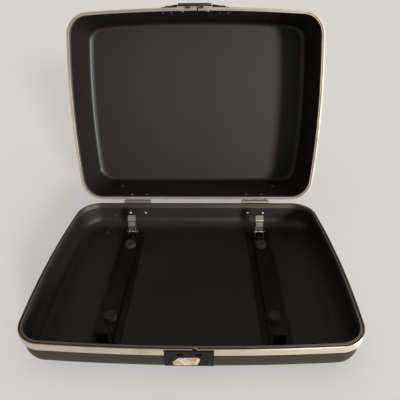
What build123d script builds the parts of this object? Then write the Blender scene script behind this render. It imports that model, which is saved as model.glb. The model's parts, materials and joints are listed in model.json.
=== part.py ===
from build123d import *
from math import radians, tan
import os

# A portable typewriter case, standing with its lid open on the hinge stops.
# Millimetres.  X runs to the right, Y to the hinge side, Z up from the table.
# The origin is under the middle of the base.  Everything on the lid is drawn
# on the closed case and then swung open about the hinge line.

# ---- the case as a whole, measured on the rims -------------------------------
case_width = 458.0
case_depth = 342.0
corner_radius = 40.0
side_bow = 9.4              # how far each side swells past its corners
front_bow = 9.3
parting_height = 52.0       # the plane where lid and base meet
lid_height = 115.0          # from that plane to the lid's top
parting_gap = 0.3           # left between the two rims when closed
open_angle = 102.9          # where the hinge stops hold the lid
fit = 0.1                   # gap between fixed pieces that nest
running = 0.05              # radial gap of a pin that turns in its eye
free = 0.3                  # least gap between pieces that move past each other

# ---- aluminium rim extrusions ------------------------------------------------
rim_skirt = 1.4             # the polished band outside the shell
rim_band_height = 11.0
rim_web = 1.6
rim_lip = 1.2               # the inner legs, behind the shells' walls
rim_edge = 0.5              # chamfer of the band's edges
lip_depth = 8.0
groove_width = 1.9          # in the base's rim, beside the band
groove_depth = 2.6
tongue_height = 2.0         # on the lid's rim, which enters the groove
base_rim_gap = 5.7          # the butt joint of the bent extrusion
base_rim_gap_x = 7.0
lid_rim_gap = 2.2
lid_rim_gap_x = 4.6

# ---- moulded shells ----------------------------------------------------------
base_wall = 3.0
base_floor = 3.9
base_draft = 5.0
base_edge_radius = 23.0
lid_wall = 2.4
lid_draft = 2.2
lid_edge_radius = 12.5
panel_width = 300.0         # the raised panel under the base
panel_depth = 222.0
panel_corner = 24.0
panel_drop = 1.8

# ---- feet --------------------------------------------------------------------
foot_radius = 9.0
foot_height = 3.0
foot_edge = 0.8
foot_inset_x = 59.0         # the feet's centres, in from the rims
foot_inset_front = 45.0
foot_inset_rear = 39.0
foot_boss_radius = 5.0
foot_boss_height = 7.0
screw_radius = 2.0
screw_head_height = 1.1
screw_head_edge = 0.4
spine_foot_radius = 9.0
spine_foot_inset = 69.0
spine_foot_reach = 12.5     # past the rim, to clear the hinges
spine_foot_root = 4.0       # how far its foot reaches in, to meet the sloping wall
spine_foot_edge = 1.2
spine_foot_base_drop = 25.0
spine_foot_lid_rise = 74.0
spine_foot_taper = 6.0
spine_stem_radius = 3.0
barb_length = 2.0           # of the push-in stems, on these and on the buffers

# ---- hinges ------------------------------------------------------------------
hinge_offset = 4.5          # hinge line behind the rear of the rims
hinge_inset = 114.0         # the hinges' middles, in from the rims
hinge_width = 50.0
hinge_leaf = 1.5
hinge_leaf_height = 27.0
hinge_knuckles = 5
hinge_pin_radius = 2.2
hinge_stop_reach = 6.3      # the stop lip, from the hinge line
hinge_stop_top = 1.5
hinge_leaf_corner = 5.0
hinge_rivet_spacing = 30.0
hinge_rivet_inset = 6.5     # from the leaf's far edge
hinge_pin_head = 1.1
rivet_radius = 1.6
rivet_head_radius = 3.2
rivet_head_height = 1.2
rivet_tail_height = 0.9
hole_run = 20.0             # holes are cut deeper than any wall
hole_over = 5.0

# ---- strike plate ------------------------------------------------------------
strike_width = 60.6
strike_height = 27.0
strike_stand = 2.4          # its face in front of the rim
strike_sheet = 1.2
strike_edge = 0.9
strike_rivet_spacing = 46.0
strike_rivet_rise = 5.5     # from the plate's lower edge
rim_clear = 0.4             # fittings stop this far short of the parting plane
slot_width = 8.9
slot_height = 3.5
slot_drop = 5.9             # slot centres below the parting plane
slot_spacing = 22.2
pocket_depth = 3.2          # room for the hook noses behind the band
pocket_room = 0.8

# ---- latch -------------------------------------------------------------------
latch_width = 57.4
latch_rise = 27.0           # pivot above the parting plane
latch_stand = 4.4           # pivot in front of the rim
latch_drop = 9.0            # the flap's lower edge below the parting plane
latch_sheet = 1.4
latch_pin_radius = 1.3
latch_knuckle_wall = 1.25
latch_spring_room = 9.0
latch_spring_wire = 0.8
latch_base_sheet = 1.3
latch_base_top = 33.5
latch_base_side = 1.3
latch_hood_sheet = 2.2
latch_hood_reach = 1.2      # past the pivot line
latch_flap_corner = 4.0
latch_bead_radius = 1.1
latch_bead_inset = 4.5
hook_width = 7.6
hook_thickness = 1.7
hook_reach = 2.6            # noses past the rim's face
hook_barb = 0.6
hook_tail_inset = 1.0       # the staked tail is narrower than the hook
latch_spring_legs = (5.0, 7.0)
latch_rivet_spacing = 43.2
latch_rivet_rise = 13.4
latch_rivet_head_height = 1.8

# ---- handle ------------------------------------------------------------------
handle_span = 95.6          # between the bail's two legs
handle_rise = 23.0          # pivots above the parting plane
handle_stand = 2.9          # pivots in front of the rim
bail_strip = 3.5
bail_depth = 4.4
bail_bend = 2.0
bail_eye_radius = 3.0
handle_pin_radius = 1.5
grip_drop = 37.0            # from pivots to the middle of the grip
grip_length = 86.0
grip_height = 20.0
grip_thickness = 11.0
grip_lean = 4.2             # grip's middle further out than the pivots
grip_end = 0.86             # size of the grip's ends against its middle
handle_pin_length = 8.0
mount_inner = 31.2
mount_outer = 66.0
mount_below = 10.0
mount_above = 12.0
mount_stand = 6.6
mount_tip = 0.8             # how far its outer end stands out
mount_screw_stop = 0.6      # screw points, in front of the rims
mount_screw_inner = 41.8
mount_screw_outer = 57.5
mount_edge = 2.0
mount_boss_radius = 2.7     # the barrel round the pin
mount_boss_end = 1.0        # closes the barrel past the pin
mount_boss_edge = 0.7
mount_screw_head = 1.7

# ---- typewriter fixings inside the base --------------------------------------
runner_spacing = 236.0
runner_width = 42.0
runner_crown = 22.0
runner_length = 268.0
runner_sheet = 1.5
runner_rise = 6.0
runner_rivet_inset = 9.0    # from the runner's ends
buffer_radius = 10.0
buffer_height = 7.0
buffer_inset = 48.0         # buffers, clips and hooks keep their places from the runners' ends
buffer_stem_radius = 2.4
clip_inset = 16.0           # pivots of the rear clips
clip_rise = 9.0             # pivots above the runners
clip_width = 14.0           # the lever between its bracket's ears
clip_sheet = 2.0
clip_height = 24.0          # top of the nose above the pivot
clip_nose = 6.5
clip_eye_radius = 3.4
clip_pin_radius = 1.75
clip_ear = 1.5
clip_ear_radius = 4.2
clip_foot_front = 11.0      # the bracket's foot, from the pivot
clip_foot_rear = 13.0
clip_rivet_inset = 5.0      # from the foot's ends
clip_bend = 4.0
clip_tab_back = 6.0
clip_tab_rise = 7.0
clip_nose_height = 10.0
spring_wire = 0.9
clip_spring_legs = (11.0, 8.0)
front_hook_inset = 2.0
front_hook_width = 16.0
front_hook_height = 21.0
front_hook_reach = 9.0
front_hook_foot = 22.0
front_hook_flare = 2.5
front_hook_rivet_inset = 7.0
front_hook_rivet_spacing = 8.4
front_hook_sheet = 2.0

# ---- worked out from the above -----------------------------------------------
shell_inset = rim_skirt + fit
base_lip_inset = shell_inset + base_wall + fit
lid_lip_inset = shell_inset + lid_wall + fit
ridge_inset = rim_skirt + groove_width
groove_floor = parting_height - groove_depth
hinge_y = case_depth / 2 + hinge_offset
hinge_spacing = case_width - 2 * hinge_inset
hinge_axis = Axis((0, hinge_y, parting_height), (1, 0, 0))
front_y = -case_depth / 2
shell_top = groove_floor - rim_web - fit
shell_bottom = foot_height
floor_top = foot_height + base_floor
lid_start = parting_height + parting_gap
lid_shell_start = lid_start + rim_web + fit
lid_top = parting_height + lid_height
barrel_radius = hinge_pin_radius + running + hinge_leaf
crown_top = floor_top + runner_rise
runner_end = runner_length / 2
buffer_spacing = runner_length - 2 * buffer_inset
clip_y = runner_end - clip_inset
front_hook_y = front_hook_inset - runner_end
bulk = 2 * case_width       # larger than anything here


def side_radius():
    """Radius of the arc that bows each side."""
    return case_depth**2 / (8 * side_bow) + side_bow / 2


def front_radius():
    """Radius of the arc that bows the front."""
    return case_width**2 / (8 * front_bow) + front_bow / 2


def outline(inset):
    """The case's plan: bowed front and sides, straight back, round corners."""
    side = side_radius()
    front = front_radius()
    shape = Pos(side - case_width / 2, 0) * Circle(side - inset)
    shape &= Pos(case_width / 2 - side, 0) * Rot(0, 0, 180) * Circle(side - inset)
    shape &= Pos(0, front_y + front) * Circle(front - inset)
    shape &= Pos(0, case_depth / 2 - inset - bulk / 2) * Rectangle(bulk, bulk)
    return fillet(shape.vertices(), corner_radius - inset)


def ring(outer, inner, low, high):
    """A straight-sided band between two insets of the plan."""
    plan = outline(outer) - outline(inner)
    return Pos(0, 0, low) * extrude(plan, high - low)


def tub(inset, depth, draft, edge_radius):
    """A drafted plug standing on the XY plane, with a rounded far edge."""
    plug = extrude(outline(inset), depth, dir=(0, 0, 1), taper=draft)
    return fillet(plug.faces().sort_by(Axis.Z)[-1].edges(), edge_radius)


def box(x, y, z):
    """A box from three (low, high) pairs."""
    size = (x[1] - x[0], y[1] - y[0], z[1] - z[0])
    centre = ((x[0] + x[1]) / 2, (y[0] + y[1]) / 2, (z[0] + z[1]) / 2)
    return Pos(*centre) * Box(*size)


def rod(radius, start, end):
    """A round bar between two points."""
    start = Vector(*start)
    along = Vector(*end) - start
    return Plane(start, z_dir=along) * extrude(Circle(radius), along.length)


def hexagon(radius, start, end):
    """A six-sided bar between two points, which stands for fine wire."""
    start = Vector(*start)
    along = Vector(*end) - start
    return Plane(start, z_dir=along) * extrude(RegularPolygon(radius, 6), along.length)


def section(points, x):
    """A solid cut to a (y, z) profile, between two values of x."""
    wire = Plane.YZ * Polyline(*points, close=True)
    return Pos(x[0], 0, 0) * extrude(make_face(wire), x[1] - x[0], dir=(1, 0, 0))


def both_sides(shape):
    """A shape and its mirror image across the middle of the case."""
    return [shape, mirror(shape, Plane.YZ)]


def turned(profile):
    """A round piece about Z, from its (radius, height) profile."""
    return revolve(Plane.XZ * make_face(Polyline(*profile, close=True)), Axis.Z)


def rivet(grip, head=rivet_head_radius, shank=rivet_radius, rise=rivet_head_height):
    """A low-headed rivet along Z: its head above z = 0, its tail upset below the grip."""
    tail = -grip - fit
    profile = [(0, rise), (head, 0), (shank, 0)]
    profile += [(shank, tail), (shank * 1.6, tail), (0, tail - rivet_tail_height)]
    return turned(profile)


def rivet_hole(radius=rivet_radius, depth=hole_run):
    """What a rivet's shank clears, along the same axis."""
    return Pos(0, 0, -depth) * extrude(Circle(radius + fit), depth + hole_over)


def opened(shape):
    """Swing a piece of the lid from the closed case to its stops."""
    return shape.rotate(hinge_axis, -open_angle)


# ---- the walls that fittings seat on -------------------------------------------


def base_skin(gap):
    """The outside of the closed base, grown by a gap."""
    depth = shell_top - shell_bottom + gap
    body = mirror(tub(shell_inset - gap, depth, base_draft, base_edge_radius), Plane.XY)
    band = rim_band_height + gap
    return Pos(0, 0, shell_top) * body + Pos(0, 0, parting_height - band) * extrude(outline(-gap), band)


def lid_skin(gap):
    """The outside of the closed lid, grown by a gap."""
    body = tub(shell_inset - gap, lid_top - lid_shell_start + gap, lid_draft, lid_edge_radius)
    band = extrude(outline(-gap), rim_band_height + gap)
    return Pos(0, 0, lid_shell_start) * body + Pos(0, 0, lid_start) * band


def front_sag(x):
    """How far the bowed front has fallen back at a distance from the middle."""
    return x**2 / (2 * front_radius())


def base_draw(z):
    """How far the base's wall has drawn in at a height."""
    return shell_inset + (shell_top - z) * tan(radians(base_draft))


def lid_draw(z):
    """How far the closed lid's wall has drawn in at a height."""
    return shell_inset + (z - lid_shell_start) * tan(radians(lid_draft))


def base_rear(x, z, stand):
    """A place on the base's back wall, facing out of it."""
    y = case_depth / 2 - base_draw(z) + stand
    return Pos(x, y, z) * Rot(-90 - base_draft, 0, 0)


def lid_rear(x, z, stand):
    """A place on the closed lid's back wall, facing out of it."""
    y = case_depth / 2 - lid_draw(z) + stand
    return Pos(x, y, z) * Rot(-90 + lid_draft, 0, 0)


def lid_front_inside(x, z, radius):
    """A seat inside the closed lid's front wall for a head of some radius, facing in."""
    y = front_y + lid_draw(z + radius) + lid_wall + front_sag(abs(x) + radius)
    return Pos(x, y, z) * Rot(-90, 0, 0)


# ---- base: shell, rim and feet --------------------------------------------------


def foot_places():
    """Centres of the four rubber feet."""
    x = case_width / 2 - foot_inset_x
    ys = (front_y + foot_inset_front, case_depth / 2 - foot_inset_rear)
    return [(side * x, y) for side in (-1, 1) for y in ys]


def hook_pockets():
    """The room behind the strike plate's slots for the hooks' noses."""
    wide = slot_width / 2 + pocket_room
    high = slot_height / 2 + pocket_room
    middle = parting_height - slot_drop
    pocket = box(
        (slot_spacing / 2 - wide, slot_spacing / 2 + wide),
        (front_y - 1, front_y + pocket_depth),
        (middle - high, middle + high),
    )
    return both_sides(pocket)


def base_shell():
    """The moulded tray, with its raised panel, screw bosses and hook pockets."""
    depth = shell_top - shell_bottom
    outer = tub(shell_inset, depth, base_draft, base_edge_radius)
    inner = tub(shell_inset + base_wall, depth - base_floor, base_draft, base_edge_radius - base_floor)
    shell = Pos(0, 0, shell_top) * mirror(outer, Plane.XY)
    panel = RectangleRounded(panel_width, panel_depth, panel_corner)
    shell += Pos(0, 0, shell_bottom + 1) * extrude(panel, panel_drop + 1, dir=(0, 0, -1))
    shell -= Pos(0, 0, shell_top) * mirror(inner, Plane.XY)
    boss_top = floor_top + foot_boss_height
    for x, y in foot_places():
        shell += rod(foot_boss_radius, (x, y, floor_top - 1), (x, y, boss_top))
        shell -= rod(screw_radius + fit, (x, y, 0), (x, y, boss_top - 2))
    top = parting_height
    shell -= ring(base_lip_inset - fit, base_lip_inset + rim_lip + fit, top - lip_depth - fit, top)
    for cut in hook_pockets():
        shell -= cut
    for place in strike_rivet_places() + hinge_base_rivet_places() + runner_rivet_places():
        shell -= place * rivet_hole()
    for place in base_spine_places():
        shell -= place * rivet_hole(spine_stem_radius)
    return shell


def base_rim():
    """The groove extrusion: band, groove and ridge, with a leg down inside the wall."""
    top = parting_height
    web = groove_floor - rim_web
    inner = base_lip_inset + rim_lip
    rim = banded_rim(top - rim_band_height, top)
    rim += ring(rim_skirt - rim_edge, inner, web, groove_floor)
    rim += ring(ridge_inset, inner, web, top)
    rim += ring(base_lip_inset, inner, top - lip_depth, top)
    half = base_rim_gap / 2
    joint = (front_y - 1, front_y + ridge_inset + fit)
    rim -= box((base_rim_gap_x - half, base_rim_gap_x + half), joint, (top - rim_band_height - 1, top + 1))
    for cut in hook_pockets():
        rim -= cut
    return rim


def banded_rim(low, high):
    """The polished outer band of either extrusion, with its edges eased."""
    band = ring(0, rim_skirt, low, high)
    edges = band.faces().sort_by(Axis.Z)[-1].outer_wire().edges()
    edges += band.faces().sort_by(Axis.Z)[0].outer_wire().edges()
    return chamfer(edges, rim_edge)


def base_feet():
    """Four rubber feet with sunk screw holes."""
    bore = screw_radius + fit
    sink = screw_radius * 2
    seat = foot_height / 2
    profile = [(bore, foot_height), (foot_radius, foot_height), (foot_radius, foot_edge)]
    profile += [(foot_radius - foot_edge, 0), (sink, 0), (sink, seat), (bore, seat)]
    return [Pos(x, y, 0) * turned(profile) for x, y in foot_places()]


def foot_screws():
    """The feet's pan-head screws, up into the shell's bosses."""
    seat = foot_height / 2
    head = screw_radius * 1.8
    low = seat - screw_head_height
    point = floor_top + foot_boss_height - 2.5
    profile = [(0, low), (head - screw_head_edge, low), (head, low + screw_head_edge), (head, seat)]
    profile += [(screw_radius, seat), (screw_radius, point), (0, point)]
    return [Pos(x, y, 0) * turned(profile) for x, y in foot_places()]


def base_spine_places():
    """Where the base's two bumpers push in, facing out of the back."""
    x = case_width / 2 - spine_foot_inset
    return [base_rear(side * x, parting_height - spine_foot_base_drop, 0) for side in (-1, 1)]


def lid_spine_places():
    """Where the lid's two bumpers push in on the closed case."""
    x = case_width / 2 - spine_foot_inset
    return [lid_rear(side * x, parting_height + spine_foot_lid_rise, 0) for side in (-1, 1)]


def spine_foot(place, wall, skin):
    """A push-in bumper on the back, which the closed case stands on when upright."""
    spot = place.position
    start = spot.Y - spine_foot_root
    reach = case_depth / 2 + spine_foot_reach - start
    edge = spine_foot_edge
    tip = spine_foot_radius - reach * tan(radians(spine_foot_taper))
    shape = turned([(0, 0), (spine_foot_radius, 0), (tip, reach - edge), (tip - edge, reach), (0, reach)])
    foot = Pos(spot.X, start, spot.Z) * Rot(-90, 0, 0) * shape - skin
    stem = spine_stem_radius
    barb = -wall - fit
    point = barb - barb_length
    profile = [(0, 2), (stem, 2), (stem, barb), (stem * 1.4, barb), (stem, point), (0, point)]
    return foot + place * turned(profile)


def spine_feet(places, wall, skin):
    """Both bumpers of one half of the case."""
    return [spine_foot(place, wall, skin) for place in places]


# ---- strike plate ----------------------------------------------------------------


def strike_rivet_places():
    """Where the strike plate is riveted, facing out of the front."""
    x = strike_rivet_spacing / 2
    z = parting_height - strike_height + strike_rivet_rise
    return [Pos(side * x, front_y - strike_stand, z) * Rot(90, 0, 0) for side in (-1, 1)]


def strike_plate():
    """The pressed plate on the base's front, with two slots for the hooks."""
    half = strike_width / 2
    low = parting_height - strike_height
    high = parting_height - rim_clear
    face = front_y - strike_stand
    inside = front_y + 12
    plate = box((-half, half), (face, inside), (low, high))
    plate = fillet(plate.faces().sort_by(Axis.Y)[0].edges(), strike_edge)
    sheet = strike_sheet
    plate -= box((sheet - half, half - sheet), (face + sheet, inside + 1), (low + sheet, high - sheet))
    plate -= base_skin(fit)
    slot = Pos(slot_spacing / 2, face + 3, parting_height - slot_drop) * Rot(90, 0, 0)
    for cut in both_sides(slot * extrude(SlotOverall(slot_width, slot_height), 6)):
        plate -= cut
    for place in strike_rivet_places():
        plate -= place * rivet_hole()
    return plate


def strike_rivets():
    """Two low rivets through the plate and the shell's front wall."""
    rivets = []
    for place in strike_rivet_places():
        spot = place.position
        wall = base_draw(spot.Z - rivet_head_radius) + base_wall
        wall += front_sag(abs(spot.X) + rivet_head_radius)
        rivets.append(place * rivet(front_y + wall - spot.Y, rivet_head_radius * 0.8))
    return rivets


# ---- hinges ----------------------------------------------------------------------


def hinge_line(x):
    """A point on the line that the lid turns on."""
    return (x, hinge_y, parting_height)


def knuckle_spans(odd):
    """The x spans of the knuckles that one leaf owns, from the hinge's middle."""
    pitch = hinge_width / hinge_knuckles
    spans = []
    for i in range(1 if odd else 0, hinge_knuckles, 2):
        start = i * pitch - hinge_width / 2
        spans.append((start + free / 2, start + pitch - free / 2))
    return spans


def leaf_plate(x, low, high, rounded, skins):
    """A leaf that follows the case's back, with its two far corners rounded."""
    plan = Rectangle(hinge_width, high - low)
    plan = fillet(plan.vertices().group_by(Axis.Y)[rounded], hinge_leaf_corner)
    block = Pos(x, hinge_y, (low + high) / 2) * Rot(90, 0, 0) * extrude(plan, hinge_leaf_height)
    return block & skins[1] - skins[0]


def barrel(x, spans):
    """Knuckles on the hinge line."""
    shape = None
    for low, high in spans:
        piece = rod(barrel_radius, hinge_line(x + low), hinge_line(x + high))
        shape = piece if shape is None else shape + piece
    return shape


def hinge_bore(x):
    """The eye that runs through all the knuckles."""
    end = hinge_width / 2 + 1
    return rod(hinge_pin_radius + running, hinge_line(x - end), hinge_line(x + end))


def hinge_base_leaf(x, skins):
    """The base's leaf: cranked over the rim's band, notched for the lid's knuckles."""
    leaf = leaf_plate(x, parting_height - hinge_leaf_height, parting_height - rim_clear, 0, skins)
    clear = barrel_radius + free
    for low, high in knuckle_spans(True):
        leaf -= box((x + low - free, x + high + free), (0, bulk), (parting_height - clear, bulk))
    leaf += barrel(x, knuckle_spans(False))
    leaf -= hinge_bore(x)
    for place in hinge_base_rivet_places():
        leaf -= place * rivet_hole()
    return leaf


def hinge_lid_leaf(x, skins):
    """The lid's leaf, opened, with the stop lips that bear on the base's leaf."""
    leaf = leaf_plate(x, lid_start + rim_clear, lid_start + hinge_leaf_height, -1, skins)
    clear = barrel_radius + free
    for low, high in knuckle_spans(False):
        leaf -= box((x + low - free, x + high + free), (0, bulk), (0, parting_height + clear))
    leaf += barrel(x, knuckle_spans(True))
    for place in hinge_lid_rivet_places():
        leaf -= place * rivet_hole()
    leaf = opened(leaf)
    near = case_depth / 2 + fit + hinge_leaf + free
    for low, high in knuckle_spans(True):
        lip = (parting_height - hinge_stop_reach, parting_height - hinge_stop_top)
        leaf += box((x + low, x + high), (near, near + hinge_leaf), lip)
    return leaf - hinge_bore(x)


def hinge_pin(x):
    """A hinge pin with its ends peened over."""
    end = hinge_width / 2 + 0.2
    pin = rod(hinge_pin_radius, hinge_line(x - end), hinge_line(x + end))
    for side in (-1, 1):
        tip = hinge_line(x + side * (end + hinge_pin_head))
        head = rod(barrel_radius * 0.85, hinge_line(x + side * end), tip)
        pin += chamfer(head.edges().sort_by(Axis.X)[0 if side < 0 else -1], 0.6)
    return pin


def hinge_rivet_xs():
    """Two rivets in each leaf."""
    return [(side * hinge_spacing + edge * hinge_rivet_spacing) / 2 for side in (-1, 1) for edge in (-1, 1)]


def hinge_base_rivet_places():
    """The base leaves' rivets, below the rim's band."""
    z = parting_height - hinge_leaf_height + hinge_rivet_inset
    return [base_rear(x, z, fit + hinge_leaf) for x in hinge_rivet_xs()]


def hinge_lid_rivet_places():
    """The lid leaves' rivets, above the rim's band on the closed case."""
    z = lid_start + hinge_leaf_height - hinge_rivet_inset
    return [lid_rear(x, z, fit + hinge_leaf) for x in hinge_rivet_xs()]


# ---- lid -------------------------------------------------------------------------


def lid_shell():
    """The moulded lid, deeper and thinner than the base."""
    depth = lid_top - lid_shell_start
    shell = tub(shell_inset, depth, lid_draft, lid_edge_radius)
    shell -= tub(shell_inset + lid_wall, depth - lid_wall, lid_draft, lid_edge_radius - lid_wall)
    shell = Pos(0, 0, lid_shell_start) * shell
    inner = lid_lip_inset + rim_lip
    shell -= ring(lid_lip_inset - fit, inner + fit, lid_start, lid_start + lip_depth + fit)
    for place in hinge_lid_rivet_places() + latch_rivet_places() + mount_screw_places():
        shell -= place * rivet_hole()
    for place in lid_spine_places():
        shell -= place * rivet_hole(spine_stem_radius)
    return shell


def lid_rim():
    """The tongue extrusion round the lid's mouth, bent from one length."""
    low = lid_start
    inner = lid_lip_inset + rim_lip
    rim = banded_rim(low, low + rim_band_height)
    rim += ring(rim_skirt - rim_edge, inner, low, low + rim_web)
    rim += ring(lid_lip_inset, inner, low, low + lip_depth)
    rim += ring(rim_skirt + free, ridge_inset - free, low - tongue_height, low + rim_web)
    half = lid_rim_gap / 2
    joint = (front_y - 1, front_y + inner + 1)
    tall = (low - tongue_height - 1, low + rim_band_height + 1)
    return rim - box((lid_rim_gap_x - half, lid_rim_gap_x + half), joint, tall)


# ---- latch -----------------------------------------------------------------------


def latch_line(x):
    """A point on the latch's pivot line, on the closed case."""
    return (x, front_y - latch_stand, parting_height + latch_rise)


def out(p):
    """The y of a point that stands some distance in front of the rims."""
    return front_y - p


def latch_rivet_places():
    """The latch's two rivets, whose bright heads show inside the lid."""
    z = parting_height + latch_rivet_rise
    return [lid_front_inside(side * latch_rivet_spacing / 2, z, rivet_head_radius) for side in (-1, 1)]


def latch_rivets():
    """Two rivets from inside the lid, upset on the latch's cast base."""
    rivets = []
    for place in latch_rivet_places():
        grip = place.position.Y - out(latch_base_sheet)
        rivets.append(place * rivet(grip, rise=latch_rivet_head_height))
    return rivets


def latch_base(skin):
    """The cast base on the lid's front, with cheeks that carry the latch pin."""
    half = latch_width / 2 + free + latch_base_side
    low = lid_start + rim_clear
    high = parting_height + latch_base_top
    base = box((-half, half), (out(latch_base_sheet), front_y + 14), (low, high))
    hood = box((-half, half), (out(latch_stand + latch_hood_reach), front_y), (high - latch_hood_sheet, high))
    base += fillet(hood.edges().filter_by(Axis.X).sort_by(Axis.Y)[:2], 0.9)
    eye = latch_pin_radius + running + latch_knuckle_wall + 0.5
    y, z = latch_line(0)[1:]
    for side in (-1, 1):
        ear = (side * (half - latch_base_side), side * half)
        near, far = min(ear), max(ear)
        base += rod(eye, (near, y, z), (far, y, z))
        base += section([(y, z - eye), (y, z + eye), (front_y, high), (front_y, low + 6)], (near, far))
    base -= skin
    base -= rod(latch_pin_radius + running, latch_line(-half - 1), latch_line(half + 1))
    for place in latch_rivet_places():
        base -= place * rivet_hole()
    return base


def latch_pin():
    """The pin through the cheeks and the flap's rolled knuckle."""
    half = latch_width / 2 + free + latch_base_side
    return rod(latch_pin_radius, latch_line(-half), latch_line(half))


def latch_flap():
    """The flap: a flanged steel pressing rolled round its pin, with a rolled lower edge."""
    half = latch_width / 2
    y, z = latch_line(0)[1:]
    inner = out(latch_stand - 1)
    outer = inner - latch_sheet
    low = parting_height - latch_drop
    plan = fillet(Rectangle(latch_width, z - low).vertices().group_by(Axis.Y)[0], latch_flap_corner)
    flap = Pos(0, inner, (z + low) / 2) * Rot(90, 0, 0) * extrude(plan, latch_sheet)
    knuckle = latch_pin_radius + running + latch_knuckle_wall
    flap += rod(knuckle, latch_line(-half), latch_line(half))
    bead = low + latch_bead_radius - 0.1
    edge = half - latch_bead_inset
    middle = inner - latch_sheet * 0.45
    flap += rod(latch_bead_radius, (-edge, middle, bead), (edge, middle, bead))
    cheek = (out(latch_base_sheet) - 0.4, outer + 0.3)
    for side in (-1, 1):
        ends = sorted((side * half, side * (half - latch_sheet)))
        flap += box(ends, sorted(cheek), (lid_start + rim_clear, z))
    flap -= rod(latch_pin_radius + running, latch_line(-half - 1), latch_line(half + 1))
    room = latch_spring_room / 2
    flap -= box((-room, room), (y - 5, y + 5), (z - knuckle - 0.7, z + 5))
    for cut in hook_tenons():
        flap -= cut
    return flap


def hook_levels():
    """Bottom and top of the hooks' shanks."""
    low = parting_height - slot_drop - hook_thickness / 2 + 0.4
    return low, low + hook_thickness


def hook_tenons():
    """The staked tails of the hooks, where they pass through the flap."""
    x = slot_spacing / 2
    inner = out(latch_stand - 1)
    half = hook_width / 2 - hook_tail_inset
    tenon = box((x - half, x + half), (inner - latch_sheet - 1, inner), hook_levels())
    return both_sides(tenon)


def latch_hooks():
    """Two hooks staked in the flap: ramped noses that snap up behind the slots."""
    low, high = hook_levels()
    x = slot_spacing / 2
    inner = out(latch_stand - 1)
    tip = out(-hook_reach)
    points = [
        (inner, low),
        (tip, low),
        (tip, low + 0.6),
        (tip - 1.4, high + hook_barb),
        (tip - 2.8, high + hook_barb),
        (tip - 3.2, high),
        (inner, high),
    ]
    hook = section(points, (x - hook_width / 2, x + hook_width / 2))
    half = hook_width / 2 - hook_tail_inset
    tail = box((x - half, x + half), (inner - latch_sheet - 0.5, inner), (low, high))
    return both_sides(hook + tail)


def torsion_spring(centre, radius, wire, start, turns, legs):
    """A spring wound about X from a start angle, with a straight leg at each end."""
    pitch = wire * 1.2
    path = Helix(pitch, pitch * turns, radius)
    spring = sweep(Plane(path @ 0, z_dir=path % 0) * RegularPolygon(wire / 2, 6), path)
    spring += hexagon(wire / 2, path @ 0, (path @ 0) - (path % 0) * legs[0])
    spring += hexagon(wire / 2, path @ 1, (path @ 1) + (path % 1) * legs[1])
    spring = Plane.YZ.location * Pos(0, 0, -pitch * turns / 2) * spring
    return Pos(*centre) * Rot(start, 0, 0) * spring


def latch_spring():
    """The spring that keeps the flap down: one leg on the cast base, one over the flap."""
    radius = latch_pin_radius + (1 + latch_spring_wire) / 2
    return torsion_spring(latch_line(0), radius, latch_spring_wire, 5, 3.51, latch_spring_legs)


# ---- handle ----------------------------------------------------------------------


def handle_line(x):
    """A point on the handle's pivot line, on the closed case."""
    return (x, out(handle_stand), parting_height + handle_rise)


def handle_frame():
    """The handle's own frame: X along the pivots, Y up to the grip, Z outwards."""
    grip = Vector(0, -grip_lean, grip_drop)
    return Plane(handle_line(0), x_dir=(1, 0, 0), z_dir=Vector(1, 0, 0).cross(grip)).location


def grip_reach():
    """From the pivot line to the middle of the grip."""
    return (grip_drop**2 + grip_lean**2) ** 0.5


def handle_bail():
    """A steel strip bent square, with an eye at the foot of each leg."""
    half = bail_strip / 2
    top = grip_reach()
    outer = Pos(0, (top + half) / 2) * Rectangle(handle_span + bail_strip, top + half)
    inner = Pos(0, (top - half) / 2) * Rectangle(handle_span - bail_strip, top - half)
    outer = fillet(outer.vertices().group_by(Axis.Y)[-1], bail_bend + bail_strip)
    inner = fillet(inner.vertices().group_by(Axis.Y)[-1], bail_bend)
    bail = handle_frame() * extrude(outer - inner, bail_depth / 2, both=True)
    for side in (-1, 1):
        x = side * handle_span / 2
        bail += rod(bail_eye_radius, handle_line(x - half), handle_line(x + half))
        bail -= rod(handle_pin_radius + running, handle_line(x - bail_strip), handle_line(x + bail_strip))
    return bail


def handle_grip():
    """A moulded grip closed round the bail's crossbar, swelling to its middle."""
    half = grip_length / 2
    cuts = []
    for x, share in ((-half, grip_end), (0, 1), (half, grip_end)):
        thick = grip_thickness * share
        place = handle_frame() * Pos(x, grip_reach(), 0) * Rot(0, 90, 0)
        cuts.append(place * RectangleRounded(thick, grip_height * share, thick * 0.42))
    grip = loft(cuts)
    ends = grip.faces().sort_by(Axis.X)
    grip = fillet(ends[0].edges() + ends[-1].edges(), 2.2)
    core = Box(grip_length + 2, bail_strip + 2 * fit, bail_depth + 2 * fit)
    return grip - handle_frame() * Pos(0, grip_reach(), 0) * core


def mount_screw_places():
    """Where the handle's screws sit inside the lid's front wall, on the closed case."""
    z = parting_height + handle_rise
    xs = [side * x for side in (-1, 1) for x in (mount_screw_inner, mount_screw_outer)]
    return [lid_front_inside(x, z, rivet_head_radius) for x in xs]


def screw_length(place):
    """From a handle screw's seat to its point."""
    return place.position.Y - out(mount_screw_stop)


def handle_screws():
    """Four pan-head screws through the lid's wall into the handle's mounts."""
    screws = []
    for place in mount_screw_places():
        head = rivet_head_radius
        top = mount_screw_head
        point = -screw_length(place)
        profile = [(0, top), (head - 0.7, top), (head, top - 0.7), (head, 0), (rivet_radius, 0)]
        screws.append(place * turned(profile + [(rivet_radius, point), (0, point)]))
    return screws


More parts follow.
